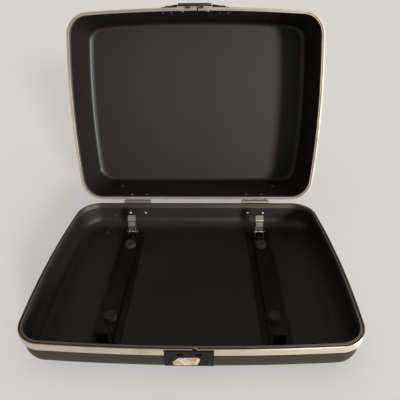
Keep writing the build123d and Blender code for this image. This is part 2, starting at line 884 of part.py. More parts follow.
def handle_mount(side, skin):
    """A cast wedge, sloping to its outer end, with a barrel for the pin and a slot for the bail."""
    low = parting_height + handle_rise - mount_below
    high = parting_height + handle_rise + mount_above
    back = front_y + 14
    plan = [(mount_inner, back), (mount_inner, out(mount_stand))]
    plan += [(mount_outer, out(mount_tip)), (mount_outer, back)]
    mount = Pos(0, 0, low) * extrude(make_face(Polyline(*plan, close=True)), high - low)
    rounded = mount.faces().sort_by(Axis.Z)[0].edges() + mount.faces().sort_by(Axis.Z)[-1].edges()
    mount = fillet(rounded, mount_edge)
    if side < 0:
        mount = mirror(mount, Plane.YZ)
    x = side * handle_span / 2
    half = handle_pin_length / 2 + mount_boss_end
    boss = rod(mount_boss_radius, handle_line(x - half), handle_line(x + half))
    mount += chamfer(boss.edges().filter_by(GeomType.CIRCLE), mount_boss_edge)
    room = bail_strip / 2 + free
    eye = bail_eye_radius + free
    mount -= skin
    mount -= handle_frame() * box((x - room, x + room), (-eye, bulk), (-bail_depth / 2 - free, bulk))
    mount -= rod(eye, handle_line(x - room), handle_line(x + room))
    ends = (side * (mount_inner - 1), x + side * (handle_pin_length / 2 + fit))
    mount -= rod(handle_pin_radius + running, handle_line(min(ends)), handle_line(max(ends)))
    for place in mount_screw_places():
        mount -= place * rivet_hole(depth=screw_length(place) + free)
    return mount


def handle_pin(side):
    """One of the two pins that the bail's eyes turn on."""
    x = side * handle_span / 2
    half = handle_pin_length / 2
    return rod(handle_pin_radius, handle_line(x - half), handle_line(x + half))


# ---- typewriter fixings ------------------------------------------------------------


def bent(points, radius, sheet, x):
    """A strip of sheet bent along a (y, z) centre line, between two values of x."""
    strip = Plane.YZ * trace(FilletPolyline(*points, radius=radius), sheet)
    return Pos(x[0], 0, 0) * extrude(strip, x[1] - x[0], dir=(1, 0, 0))


def runner_rivet_places():
    """Four rivets through each runner's flanges, facing up."""
    across = (runner_crown + runner_width) / 4
    along = runner_end - runner_rivet_inset
    z = floor_top + runner_sheet
    xs = [side * runner_spacing / 2 + edge * across for side in (-1, 1) for edge in (-1, 1)]
    return [Pos(x, end * along, z) for x in xs for end in (-1, 1)]


def buffer_place(side, end):
    """The foot of a buffer, on its runner's crown."""
    return Pos(side * runner_spacing / 2, end * buffer_spacing / 2, crown_top)


def hook_rivet_places():
    """Two rivets side by side through the foot of each front hook."""
    y = front_hook_y + front_hook_foot - front_hook_rivet_inset
    z = crown_top + front_hook_sheet
    apart = front_hook_rivet_spacing / 2
    xs = [side * runner_spacing / 2 + edge * apart for side in (-1, 1) for edge in (-1, 1)]
    return [Pos(x, y, z) for x in xs]


def bracket_rivet_places():
    """Two rivets, fore and aft, through the foot of each clip's bracket."""
    z = crown_top + clip_ear
    ys = [clip_y - clip_foot_front + clip_rivet_inset, clip_y + clip_foot_rear - clip_rivet_inset]
    return [Pos(side * runner_spacing / 2, y, z) for side in (-1, 1) for y in ys]


def runner(side):
    """A pressed rail of hat section that stiffens the tray and carries the fixings."""
    hollow = runner_rise - runner_sheet
    hat = Pos(0, runner_rise / 2) * Rectangle(runner_crown, runner_rise)
    hat = fillet(hat.vertices().group_by(Axis.Y)[-1], runner_sheet)
    hat += Pos(0, runner_sheet / 2) * Rectangle(runner_width, runner_sheet)
    hat -= Pos(0, hollow / 2) * Rectangle(runner_crown - 2 * runner_sheet, hollow)
    rail = extrude(Plane.XZ * hat, runner_end, both=True)
    rail = Pos(side * runner_spacing / 2, 0, floor_top) * rail
    for place in runner_rivet_places() + hook_rivet_places() + bracket_rivet_places():
        rail -= place * rivet_hole(depth=runner_rise)
    for end in (-1, 1):
        rail -= buffer_place(side, end) * rivet_hole(buffer_stem_radius, runner_rise)
    return rail


def rubber_buffer(side, end):
    """A dished rubber buffer, held by a barbed stem through the runner's crown."""
    neck = -runner_sheet - fit
    stem = buffer_stem_radius
    top = buffer_height
    profile = [(0, top - 1), (buffer_radius * 0.6, top), (buffer_radius * 0.85, top), (buffer_radius, 0)]
    point = neck - barb_length
    profile += [(stem, 0), (stem, neck), (stem * 1.35, neck), (stem * 0.8, point), (0, point)]
    return buffer_place(side, end) * turned(profile)


def front_hook(side):
    """A bent strap that reaches back over the front of the typewriter's frame."""
    x = side * runner_spacing / 2
    half = front_hook_width / 2
    sheet = front_hook_sheet
    foot = crown_top + sheet / 2
    back = front_hook_y + sheet / 2
    top = crown_top + front_hook_height - sheet / 2
    tip = back + front_hook_reach
    points = [
        (front_hook_y + front_hook_foot, foot),
        (back, foot),
        (back, top),
        (tip, top),
        (tip + front_hook_flare, top + front_hook_flare),
    ]
    hook = bent(points, 1.25 * sheet, sheet, (x - half, x + half))
    for place in hook_rivet_places():
        hook -= place * rivet_hole()
    return hook


def clip_line(x):
    """A point on the rear clips' pivot line."""
    return (x, clip_y, crown_top + clip_rise)


def clip_bracket(side):
    """A channel bracket whose two ears carry the rear clip's pin."""
    x = side * runner_spacing / 2
    y, z = clip_line(0)[1:]
    inner = clip_width / 2 + free
    outer = inner + clip_ear
    front = y - clip_foot_front
    rear = y + clip_foot_rear
    bracket = box((x - outer, x + outer), (front, rear), (crown_top, crown_top + clip_ear))
    flank = [
        (front + 2, crown_top),
        (rear - 2, crown_top),
        (y + clip_ear_radius, z),
        (y - clip_ear_radius, z),
    ]
    for low in (x - outer, x + inner):
        bracket += section(flank, (low, low + clip_ear))
        bracket += rod(clip_ear_radius, (low, y, z), (low + clip_ear, y, z))
    bracket -= rod(clip_pin_radius + running, (x - outer - 1, y, z), (x + outer + 1, y, z))
    for place in bracket_rivet_places():
        bracket -= place * rivet_hole()
    return bracket


def clip_lever(side):
    """The sprung lever: eye, upright, ramped nose and a thumb tab leaning back."""
    x = side * runner_spacing / 2
    y, z = clip_line(0)[1:]
    half = clip_width / 2
    span = (x - half, x + half)
    top = z + clip_height
    tab = (y + clip_tab_back, top + clip_tab_rise)
    lever = bent([(y, z), (y, top), tab], clip_bend, clip_sheet, span)
    lever += rod(clip_eye_radius, (span[0], y, z), (span[1], y, z))
    low = top - clip_nose_height
    nose = [(y, low), (y - clip_nose, low), (y - clip_nose, low + 1.5), (y, top - 2)]
    lever += section(nose, (span[0] + 1, span[1] - 1))
    lever -= rod(clip_pin_radius + running, (span[0] - 1, y, z), (span[1] + 1, y, z))
    room = clip_width * 0.3
    notch = clip_eye_radius + 0.8
    return lever - box((x - room, x + room), (y - notch, y + notch), (z - notch, z + notch))


def clip_pin(side):
    """The clip's pin, with a head on its outer end and a peened inner end."""
    x = side * runner_spacing / 2
    y, z = clip_line(0)[1:]
    half = clip_width / 2 + free + clip_ear + fit
    pin = rod(clip_pin_radius, (x - half, y, z), (x + half, y, z))
    for low in (x - half - 0.9, x + half):
        pin += rod(clip_pin_radius * 1.5, (low, y, z), (low + 0.9, y, z))
    return pin


def clip_spring(side):
    """The spring behind the lever: one leg on the bracket's foot, one up the lever."""
    radius = clip_pin_radius + (0.8 + spring_wire) / 2
    centre = clip_line(side * runner_spacing / 2)
    return torsion_spring(centre, radius, spring_wire, 40, 2.908, clip_spring_legs)


# ---- every piece, by name ------------------------------------------------------------

hands = {"left": -1, "right": 1}
ends = {"front": -1, "rear": 1}
base_seat = base_skin(fit)
lid_seat = lid_skin(fit)
leaf_skins = (base_seat, base_skin(fit + hinge_leaf))
lid_leaf_skins = (lid_seat, lid_skin(fit + hinge_leaf))
leaf_grip = fit + hinge_leaf

base = {
    "base_shell": [base_shell()],
    "base_rim": [base_rim()],
    "strike_plate": [strike_plate()],
    "strike_rivets": strike_rivets(),
    "foot_screws": foot_screws(),
    "hinge_base_rivets": [place * rivet(leaf_grip + base_wall) for place in hinge_base_rivet_places()],
    "runner_rivets": [place * rivet(runner_sheet + base_floor) for place in runner_rivet_places()],
    "front_hook_rivets": [place * rivet(front_hook_sheet + runner_sheet) for place in hook_rivet_places()],
    "clip_bracket_rivets": [place * rivet(clip_ear + runner_sheet) for place in bracket_rivet_places()],
}
for (hand, end), foot in zip([(hand, end) for hand in hands for end in ends], base_feet()):
    base[f"base_foot_{end}_{hand}"] = [foot]
for hand, foot in zip(hands, spine_feet(base_spine_places(), base_wall, base_seat)):
    base[f"base_spine_foot_{hand}"] = [foot]
for hand, side in hands.items():
    hinge_x = side * hinge_spacing / 2
    base[f"hinge_base_leaf_{hand}"] = [hinge_base_leaf(hinge_x, leaf_skins)]
    base[f"hinge_pin_{hand}"] = [hinge_pin(hinge_x)]
    base[f"runner_{hand}"] = [runner(side)]
    base[f"front_hook_{hand}"] = [front_hook(side)]
    base[f"clip_bracket_{hand}"] = [clip_bracket(side)]
    base[f"clip_pin_{hand}"] = [clip_pin(side)]
    base[f"clip_spring_{hand}"] = [clip_spring(side)]
    base[f"clip_lever_{hand}"] = [clip_lever(side)]
    for end, along in ends.items():
        base[f"buffer_{end}_{hand}"] = [rubber_buffer(side, along)]

lid = {
    "lid_shell": [lid_shell()],
    "lid_rim": [lid_rim()],
    "hinge_lid_rivets": [place * rivet(leaf_grip + lid_wall) for place in hinge_lid_rivet_places()],
    "latch_base": [latch_base(lid_seat)],
    "latch_rivets": latch_rivets(),
    "latch_pin": [latch_pin()],
    "latch_spring": [latch_spring()],
    "latch_flap": [latch_flap()],
    "handle_bail": [handle_bail()],
    "handle_grip": [handle_grip()],
    "handle_screws": handle_screws(),
}
for hand, hook in zip(("right", "left"), latch_hooks()):
    lid[f"latch_hook_{hand}"] = [hook]
for hand, foot in zip(hands, spine_feet(lid_spine_places(), lid_wall, lid_seat)):
    lid[f"lid_spine_foot_{hand}"] = [foot]
for hand, side in hands.items():
    lid[f"handle_mount_{hand}"] = [handle_mount(side, lid_seat)]
    lid[f"handle_pin_{hand}"] = [handle_pin(side)]

pieces = dict(base)
for name, solids in lid.items():
    pieces[name] = [opened(solid) for solid in solids]
for hand, side in hands.items():
    pieces[f"hinge_lid_leaf_{hand}"] = [hinge_lid_leaf(side * hinge_spacing / 2, lid_leaf_skins)]

os.makedirs("parts", exist_ok=True)
for name, solids in pieces.items():
    export_step(Compound(solids) if len(solids) > 1 else solids[0], f"parts/{name}.step")
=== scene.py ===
import json
from math import cos, pi, radians, sin

import bmesh
import bpy
from mathutils import Matrix, Vector, noise


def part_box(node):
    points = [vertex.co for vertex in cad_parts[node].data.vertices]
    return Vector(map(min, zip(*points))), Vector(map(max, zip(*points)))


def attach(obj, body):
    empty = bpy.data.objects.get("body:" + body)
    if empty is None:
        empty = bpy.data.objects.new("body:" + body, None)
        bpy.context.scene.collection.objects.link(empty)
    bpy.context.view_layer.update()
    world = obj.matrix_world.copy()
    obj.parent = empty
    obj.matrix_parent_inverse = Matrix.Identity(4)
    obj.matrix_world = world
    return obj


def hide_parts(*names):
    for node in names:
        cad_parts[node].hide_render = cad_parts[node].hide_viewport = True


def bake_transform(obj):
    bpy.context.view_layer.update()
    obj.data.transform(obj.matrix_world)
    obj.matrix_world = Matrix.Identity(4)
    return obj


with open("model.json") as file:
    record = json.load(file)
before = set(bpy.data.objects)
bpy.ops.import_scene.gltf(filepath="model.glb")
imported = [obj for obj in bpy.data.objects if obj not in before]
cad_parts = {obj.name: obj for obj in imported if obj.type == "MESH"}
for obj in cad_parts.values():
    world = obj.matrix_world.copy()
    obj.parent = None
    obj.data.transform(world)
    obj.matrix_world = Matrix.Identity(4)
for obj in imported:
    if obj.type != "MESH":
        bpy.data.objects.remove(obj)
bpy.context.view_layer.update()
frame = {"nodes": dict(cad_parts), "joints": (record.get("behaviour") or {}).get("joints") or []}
nodes = frame["nodes"]

# ---- Moulded shells ---------------------------------------------------------------
# Tray and lid, vacuum-formed from dark ABS sheet. The mould gave their outsides a
# leather grain; the insides took the sheet's own smooth satin side.

millimetre = 0.001
joints = {joint["name"]: joint for joint in frame["joints"]}
hinge_line = Vector(joints["lid_hinge"]["pos_m"])
open_angle = radians(joints["lid_hinge"]["range_deg"][1])
opened = (
    Matrix.Translation(hinge_line) @ Matrix.Rotation(-open_angle, 4, "X") @ Matrix.Translation(-hinge_line)
)
hands = ("left", "right")


def linear(code):
    """An sRGB hex colour as the linear values that the shaders take."""
    parts = [int(code[i:i + 2], 16) / 255 for i in (1, 3, 5)]
    return [p / 12.92 if p <= 0.04045 else ((p + 0.055) / 1.055) ** 2.4 for p in parts] + [1.0]


def add(tree, kind, inputs=(), stops=(), **settings):
    """Adds a node with its settings and links.

    Inputs are plain values, or sockets to link from. A colour ramp's stops are pairs of
    a position and a colour, which is a hex code or a level of grey.
    """
    made = tree.nodes.new(kind)
    for name, value in settings.items():
        setattr(made, name, value)
    for socket, value in dict(inputs).items():
        if isinstance(value, bpy.types.NodeSocket):
            tree.links.new(value, made.inputs[socket])
        else:
            made.inputs[socket].default_value = value
    if stops:
        elements = made.color_ramp.elements
        while len(elements) < len(stops):
            elements.new(0.5)
        for element, (position, colour) in zip(elements, stops):
            element.position = position
            element.color = linear(colour) if isinstance(colour, str) else [colour] * 3 + [1]
    return made


def surface(name, **sockets):
    """A new material, its node tree and its Principled shader."""
    made = bpy.data.materials.new(name)
    made.use_nodes = True
    shader = made.node_tree.nodes["Principled BSDF"]
    for socket, value in sockets.items():
        shader.inputs[socket.replace("_", " ").title().replace("Ior", "IOR")].default_value = value
    return made, made.node_tree, shader


def dress(material, *names):
    """Gives CAD nodes a material through their objects' slots."""
    for name in names:
        piece = nodes[name]
        if not piece.material_slots:
            piece.data.materials.append(None)
        for slot in piece.material_slots:
            slot.link = "OBJECT"
            slot.material = material


def case_place(tree, on_lid):
    """Coordinates in metres on the closed case, for a pattern that follows its walls."""
    place = add(tree, "ShaderNodeTexCoord").outputs["Object"]
    if on_lid:
        turn = Matrix.Rotation(open_angle, 4, "X")
        shift = hinge_line - turn @ hinge_line
        place = add(tree, "ShaderNodeMapping", {
            "Vector": place, "Location": shift, "Rotation": (open_angle, 0, 0),
        }).outputs["Vector"]
    return place


def moulded_abs(name, on_lid, middle):
    """Grained ABS sheet: a soft broad sheen outside, and a smoother side inside whose colour is painted
    darker as painted shade for the hollow.

    Round the edge of the panel the sheet was drawn thin, and it is glossier there.
    """
    made, tree, shader = surface(name, metallic=0.0, ior=1.52, specular_ior_level=0.38)
    place = case_place(tree, on_lid)
    # a leather grain of about 1.2 mm, drawn at 2.2 mm so that it shows
    grain = add(tree, "ShaderNodeTexVoronoi", {
        "Vector": place, "Scale": 1 / (2.2 * millimetre), "Smoothness": 0.45, "Randomness": 1.0,
    }, feature="SMOOTH_F1")
    drift = add(tree, "ShaderNodeTexNoise", {
        "Vector": place, "Scale": 14.0, "Detail": 5.0, "Roughness": 0.62,
    })
    speck = add(tree, "ShaderNodeTexNoise", {
        "Vector": place, "Scale": 1 / (1.6 * millimetre), "Detail": 2.0,
    })
    # outside faces look away from the middle of the hollow, inside faces look into it
    facing = add(tree, "ShaderNodeTexCoord").outputs["Normal"]
    from_middle = add(tree, "ShaderNodeVectorMath", {
        0: add(tree, "ShaderNodeTexCoord").outputs["Object"], 1: middle,
    }, operation="SUBTRACT").outputs["Vector"]
    outward = add(tree, "ShaderNodeVectorMath", {0: facing, 1: from_middle}, operation="DOT_PRODUCT")
    outside = add(tree, "ShaderNodeMath", {
        0: outward.outputs["Value"], 1: 0.0,
    }, operation="GREATER_THAN")
    outer = add(tree, "ShaderNodeValToRGB", {
        "Fac": drift.outputs["Fac"],
    }, ((0.3, "#2B2019"), (0.72, "#392B20"))).outputs["Color"]
    # inside faces are the same plastic, painted darker: painted shade inside the hollow
    inner_painted_shade = add(tree, "ShaderNodeValToRGB", {
        "Fac": drift.outputs["Fac"],
    }, ((0.3, "#1B1814"), (0.72, "#221F1A"))).outputs["Color"]
    colour = add(tree, "ShaderNodeMix", {0: outside.outputs[0], 6: inner_painted_shade, 7: outer}, data_type="RGBA")
    tree.links.new(colour.outputs[2], shader.inputs["Base Color"])
    upright = (opened if on_lid else Matrix()).to_3x3() @ Vector((0, 0, 1))
    slope = add(tree, "ShaderNodeVectorMath", {
        0: facing, 1: upright,
    }, operation="DOT_PRODUCT").outputs["Value"]
    # faces that slope by 27 to 63 degrees are the drawn edge
    squared = add(tree, "ShaderNodeMath", {0: slope, 1: slope}, operation="MULTIPLY").outputs[0]
    drawn = add(tree, "ShaderNodeMath", {0: squared, 1: 0.5, 2: 0.3}, operation="COMPARE").outputs[0]
    gloss = add(tree, "ShaderNodeMapRange", {0: drift.outputs["Fac"], 3: 0.48, 4: 0.58}).outputs[0]
    rough = add(tree, "ShaderNodeMath", {0: drawn, 1: -0.16, 2: gloss}, operation="MULTIPLY_ADD")
    tree.links.new(rough.outputs[0], shader.inputs["Roughness"])
    pebble = add(tree, "ShaderNodeMath", {
        0: grain.outputs["Distance"], 1: outside.outputs[0],
    }, operation="MULTIPLY")
    height = add(tree, "ShaderNodeMath", {
        0: speck.outputs["Fac"], 1: 0.25, 2: pebble.outputs[0],
    }, operation="MULTIPLY_ADD")
    bump = add(tree, "ShaderNodeBump", {
        "Strength": 0.6, "Distance": 0.35 * millimetre, "Height": height.outputs[0],
    })
    tree.links.new(bump.outputs["Normal"], shader.inputs["Normal"])
    return made


middle = Vector((0, 0, 0.09))
dress(moulded_abs("moulded_abs_base", False, middle - Vector((0, 0, 0.05))), "base_shell")
dress(moulded_abs("moulded_abs_lid", True, opened @ middle), "lid_shell")

# ---- Rims -------------------------------------------------------------------------
# Two aluminium extrusions bent round the mouths: a groove in the tray's takes a tongue
# on the lid's. Drawn through a die, brushed along their length and lacquered, with one
# butt joint each at the front.


def brushed_aluminium(name, on_lid, axis, middle, mouth, polish):
    """Brushed extrusion: fine lines along the band, which spread its gloss across them.

    What looks out of the mouth or into the case is unbrushed, and its colour is painted darker
    as painted shade: mouth is how much of its brightness the mouth's face keeps, and polish is
    how much smoother the band's outer face is.
    """
    made, tree, shader = surface(name, metallic=1.0, anisotropic=0.55, anisotropic_rotation=0.25)
    place = case_place(tree, on_lid)
    tangent = add(tree, "ShaderNodeTangent", direction_type="RADIAL", axis=axis)
    tree.links.new(tangent.outputs[0], shader.inputs["Tangent"])
    # brush marks of about 0.1 mm, drawn at 0.35 mm so that they show
    along = add(tree, "ShaderNodeMapping", {"Vector": place, "Scale": (9, 9, 1 / (0.35 * millimetre))})
    lines = add(tree, "ShaderNodeTexNoise", {
        "Vector": along.outputs["Vector"], "Scale": 1.0, "Detail": 4.0, "Roughness": 0.6,
    })
    marks = add(tree, "ShaderNodeTexNoise", {
        "Vector": place, "Scale": 38.0, "Detail": 6.0, "Roughness": 0.7,
    })
    shade = add(tree, "ShaderNodeValToRGB", {
        "Fac": lines.outputs["Fac"],
    }, ((0.3, "#D4C5B3"), (0.7, "#F0E4D4"))).outputs["Color"]
    dull = add(tree, "ShaderNodeValToRGB", {
        "Fac": marks.outputs["Fac"],
    }, ((0.50, 1.0), (0.74, 0.74))).outputs["Color"]
    colour = add(tree, "ShaderNodeMix", {
        0: 1.0, 6: shade, 7: dull,
    }, data_type="RGBA", blend_type="MULTIPLY")
    rough = add(tree, "ShaderNodeMapRange", {0: marks.outputs["Fac"], 1: 0.3, 2: 0.75, 3: 0.5, 4: 0.68})
    # 0 where a face looks into the case, about a half on the mouth's own face, and 1 on the
    # band's outer face
    spot = add(tree, "ShaderNodeTexCoord")
    from_middle = add(tree, "ShaderNodeVectorMath", {
        0: spot.outputs["Object"], 1: middle,
    }, operation="SUBTRACT")
    outward = add(tree, "ShaderNodeVectorMath", {
        0: spot.outputs["Normal"], 1: from_middle.outputs["Vector"],
    }, operation="DOT_PRODUCT")
    side = add(tree, "ShaderNodeMapRange", {0: outward.outputs["Value"], 1: -0.08, 2: 0.08}).outputs[0]
    # painted shade: faces that look into the case are painted down to a fifth of their brightness, and the
    # mouth's face down to the mouth level
    painted_shade = add(tree, "ShaderNodeValToRGB", {
        "Fac": side,
    }, ((0.0, 0.2), (0.38, mouth), (0.62, mouth), (1.0, 1.0))).outputs["Color"]
    colour = add(tree, "ShaderNodeMix", {
        0: 1.0, 6: colour.outputs[2], 7: painted_shade,
    }, data_type="RGBA", blend_type="MULTIPLY")
    rough = add(tree, "ShaderNodeMath", {
        0: side, 1: -polish, 2: rough.outputs[0],
    }, operation="MULTIPLY_ADD")
    tree.links.new(colour.outputs[2], shader.inputs["Base Color"])
    tree.links.new(rough.outputs[0], shader.inputs["Roughness"])
    bump = add(tree, "ShaderNodeBump", {
        "Strength": 0.12, "Distance": 0.03 * millimetre, "Height": lines.outputs["Fac"],
    })
    tree.links.new(bump.outputs["Normal"], shader.inputs["Normal"])
    return made


dress(brushed_aluminium("brushed_aluminium_base", False, "Z", middle, 0.34, 0.18), "base_rim")
dress(brushed_aluminium("brushed_aluminium_lid", True, "Y", opened @ middle, 0.48, 0.0), "lid_rim")

# ---- Rubber feet, bumpers and buffers ----------------------------------------------
# Black rubber, moulded. Four feet are screwed under the tray, four bumpers push into
# the back, and four buffers in the runners hold the typewriter off the steel.

made, tree, shader = surface("moulded_rubber", metallic=0.0, roughness=0.78)
place = add(tree, "ShaderNodeTexCoord").outputs["Object"]
dust = add(tree, "ShaderNodeTexNoise", {
    "Vector": place, "Scale": 90.0, "Detail": 6.0, "Roughness": 0.65,
})
tint = add(tree, "ShaderNodeValToRGB", {
    "Fac": dust.outputs["Fac"],
}, ((0.35, "#191817"), (0.75, "#2B2926")))
tree.links.new(tint.outputs["Color"], shader.inputs["Base Color"])
skin = add(tree, "ShaderNodeTexNoise", {
    "Vector": place, "Scale": 1 / (0.5 * millimetre), "Detail": 2.0,
})
bump = add(tree, "ShaderNodeBump", {
    "Strength": 0.2, "Distance": 0.05 * millimetre, "Height": skin.outputs["Fac"],
})
tree.links.new(bump.outputs["Normal"], shader.inputs["Normal"])
rubber = made
for end in ("front", "rear"):
    dress(rubber, *[f"{kind}_{end}_{hand}" for kind in ("base_foot", "buffer") for hand in hands])
dress(rubber, *[f"{half}_spine_foot_{hand}" for half in ("base", "lid") for hand in hands])

# ---- Enamelled steel ----------------------------------------------------------------
# Strike plate, handle mounts, runners, hooks and brackets: pressed or cast, then stoved
# in a brown-black enamel, which pools smooth and is chipped and rusty in places.

made, tree, shader = surface("stoved_enamel", metallic=0.0, specular_ior_level=0.2)
place = add(tree, "ShaderNodeTexCoord").outputs["Object"]
cloud = add(tree, "ShaderNodeTexNoise", {
    "Vector": place, "Scale": 60.0, "Detail": 5.0, "Roughness": 0.6,
})
film = add(tree, "ShaderNodeValToRGB", {
    "Fac": cloud.outputs["Fac"],
}, ((0.3, "#140F0B"), (0.75, "#1F1711"))).outputs["Color"]
# chips of 1 to 2 mm
chips = add(tree, "ShaderNodeTexNoise", {
    "Vector": place, "Scale": 1 / (3 * millimetre), "Detail": 5.0, "Roughness": 0.7,
})
chipped = add(tree, "ShaderNodeValToRGB", {
    "Fac": chips.outputs["Fac"],
}, ((0.66, 0.0), (0.72, 1.0))).outputs["Color"]
colour = add(tree, "ShaderNodeMix", {0: chipped, 6: film, 7: linear("#4A3526")}, data_type="RGBA")
tree.links.new(colour.outputs[2], shader.inputs["Base Color"])
rough = add(tree, "ShaderNodeMapRange", {0: chipped, 3: 0.36, 4: 0.7})
tree.links.new(rough.outputs[0], shader.inputs["Roughness"])
peel = add(tree, "ShaderNodeTexNoise", {
    "Vector": place, "Scale": 1 / (1.2 * millimetre), "Detail": 2.0,
})
height = add(tree, "ShaderNodeMath", {
    0: chipped, 1: -1.0, 2: peel.outputs["Fac"],
}, operation="MULTIPLY_ADD")
bump = add(tree, "ShaderNodeBump", {
    "Strength": 0.2, "Distance": 0.05 * millimetre, "Height": height.outputs[0],
})
tree.links.new(bump.outputs["Normal"], shader.inputs["Normal"])
enamel = made
dress(enamel, "strike_plate")
for kind in ("handle_mount", "runner", "clip_bracket", "front_hook"):
    dress(enamel, *[f"{kind}_{hand}" for hand in hands])

# ---- Torn label ---------------------------------------------------------------------
# What is left of a paper label gummed on the strike plate: cream paper about 0.1 mm
# thick, torn all round, rubbed thin and browned. Nothing is printed on it.

plate_face = round(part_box("strike_plate")[0].y / millimetre, 3)
torn = [
    (-12.7, 39.9), (-4.8, 40.5), (4.9, 40.7), (11.3, 40.6), (13.1, 37.6), (12.1, 33.1), (9.9, 27.6),
    (1.0, 26.9), (-8.8, 27.2), (-18.0, 26.7), (-20.2, 29.7), (-20.0, 32.9), (-17.1, 35.7),
]
edge = []
for (x, z), (next_x, next_z) in zip(torn, torn[1:] + torn[:1]):
    for step in range(9):
        x_here, z_here = x + (next_x - x) * step / 9, z + (next_z - z) * step / 9
        tear = [noise.noise(Vector((x_here, z_here, layer)) * 0.9) * 0.55 for layer in (0.5, 7.5)]
        edge.append((x_here + tear[0], z_here + tear[1]))
shape = bmesh.new()
paper_thickness = 0.12
behind, before = plate_face * millimetre, (plate_face - paper_thickness) * millimetre
back = [shape.verts.new((x * millimetre, behind, z * millimetre)) for x, z in edge]
front = [shape.verts.new((x * 0.99 * millimetre, before, z * millimetre)) for x, z in edge]
shape.faces.new(back)
shape.faces.new(front[::-1])
for n in range(len(edge)):
    after = (n + 1) % len(edge)
    shape.faces.new((back[n], front[n], front[after], back[after]))
bmesh.ops.recalc_face_normals(shape, faces=shape.faces)
mesh = bpy.data.meshes.new("torn_label")
shape.to_mesh(mesh)
label = bpy.data.objects.new("torn_label", mesh)
bpy.context.scene.collection.objects.link(label)
made, tree, shader = surface("gummed_paper", metallic=0.0, roughness=0.82)
place = add(tree, "ShaderNodeTexCoord").outputs["Object"]
fibres = add(tree, "ShaderNodeTexNoise", {
    "Vector": place, "Scale": 1 / (0.8 * millimetre), "Detail": 6.0, "Roughness": 0.7,
})
rubbed = add(tree, "ShaderNodeTexNoise", {
    "Vector": place, "Scale": 1 / (7 * millimetre), "Detail": 6.0, "Roughness": 0.65, "Distortion": 0.8,
})
paper = add(tree, "ShaderNodeValToRGB", {
    "Fac": fibres.outputs["Fac"],
}, ((0.3, "#D8C69E"), (0.7, "#EFE3C6"))).outputs["Color"]
browned = add(tree, "ShaderNodeValToRGB", {
    "Fac": rubbed.outputs["Fac"],
}, ((0.44, 0.0), (0.54, 0.5), (0.66, 1.0))).outputs["Color"]
colour = add(tree, "ShaderNodeMix", {0: browned, 6: paper, 7: linear("#7A5E38")}, data_type="RGBA")
tree.links.new(colour.outputs[2], shader.inputs["Base Color"])
bump = add(tree, "ShaderNodeBump", {
    "Strength": 0.25, "Distance": 0.05 * millimetre, "Height": fibres.outputs["Fac"],
})
tree.links.new(bump.outputs["Normal"], shader.inputs["Normal"])
mesh.materials.append(made)
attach(label, "base")

# ---- Nickel plate -------------------------------------------------------------------
# Pins, bail, rivets and the latch's cast base: nickel plated over steel or zinc, once
# bright, now dulled and spotted by use.

made, tree, shader = surface("dull_nickel_plate", metallic=1.0)
place = add(tree, "ShaderNodeTexCoord").outputs["Object"]
stain = add(tree, "ShaderNodeTexNoise", {
    "Vector": place, "Scale": 130.0, "Detail": 6.0, "Roughness": 0.65,
})
tint = add(tree, "ShaderNodeValToRGB", {
    "Fac": stain.outputs["Fac"],
}, ((0.35, "#A9A297"), (0.62, "#DED7CB")))
tree.links.new(tint.outputs["Color"], shader.inputs["Base Color"])
rough = add(tree, "ShaderNodeMapRange", {0: stain.outputs["Fac"], 1: 0.3, 2: 0.7, 3: 0.44, 4: 0.28})
tree.links.new(rough.outputs[0], shader.inputs["Roughness"])
nickel = made
dress(nickel, "latch_base", "latch_pin", "handle_bail")
dress(nickel, "handle_pin_left", "handle_pin_right")

# ---- Latch flap and hooks --------------------------------------------------------------
# The flap is pressed steel, plated all over and then enamelled on the outside alone. Its
# two hooks are case-hardened, which leaves them brown-black, and staked through it.

inward = opened.to_3x3() @ Vector((0, 1, 0))
made, tree, shader = surface("enamel_on_nickel")
coordinates = add(tree, "ShaderNodeTexCoord").outputs
towards_lid = add(tree, "ShaderNodeVectorMath", {
    0: coordinates["Normal"], 1: inward,
}, operation="DOT_PRODUCT")
bare = add(tree, "ShaderNodeMath", {0: towards_lid.outputs["Value"], 1: 0.35}, operation="GREATER_THAN")
cloud = add(tree, "ShaderNodeTexNoise", {
    "Vector": coordinates["Object"], "Scale": 90.0, "Detail": 6.0, "Roughness": 0.6,
})
film = add(tree, "ShaderNodeValToRGB", {
    "Fac": cloud.outputs["Fac"],
}, ((0.3, "#1A1614"), (0.75, "#28211D"))).outputs["Color"]
plate = add(tree, "ShaderNodeValToRGB", {
    "Fac": cloud.outputs["Fac"],
}, ((0.3, "#CFC8BC"), (0.7, "#EFEAE0"))).outputs["Color"]
colour = add(tree, "ShaderNodeMix", {0: bare.outputs[0], 6: film, 7: plate}, data_type="RGBA")
tree.links.new(colour.outputs[2], shader.inputs["Base Color"])
tree.links.new(bare.outputs[0], shader.inputs["Metallic"])
rough = add(tree, "ShaderNodeMapRange", {0: cloud.outputs["Fac"], 3: 0.34, 4: 0.5})
tree.links.new(rough.outputs[0], shader.inputs["Roughness"])
dress(made, "latch_flap")

made, tree, shader = surface("case_hardened_steel", metallic=1.0)
place = add(tree, "ShaderNodeTexCoord").outputs["Object"]
temper = add(tree, "ShaderNodeTexNoise", {
    "Vector": place, "Scale": 240.0, "Detail": 5.0, "Roughness": 0.6,
})
tint = add(tree, "ShaderNodeValToRGB", {
    "Fac": temper.outputs["Fac"],
}, ((0.3, "#2C2420"), (0.7, "#4A4039")))
tree.links.new(tint.outputs["Color"], shader.inputs["Base Color"])
rough = add(tree, "ShaderNodeMapRange", {0: temper.outputs["Fac"], 3: 0.4, 4: 0.55})
tree.links.new(rough.outputs[0], shader.inputs["Roughness"])
dress(made, "latch_hook_left", "latch_hook_right")

# ---- Rivets ---------------------------------------------------------------------------
# Steel rivets with domed heads, set by a snap that leaves a smaller dome on the far side.
# The latch's stand highest, bright inside the lid; the strike plate's are enamelled over.


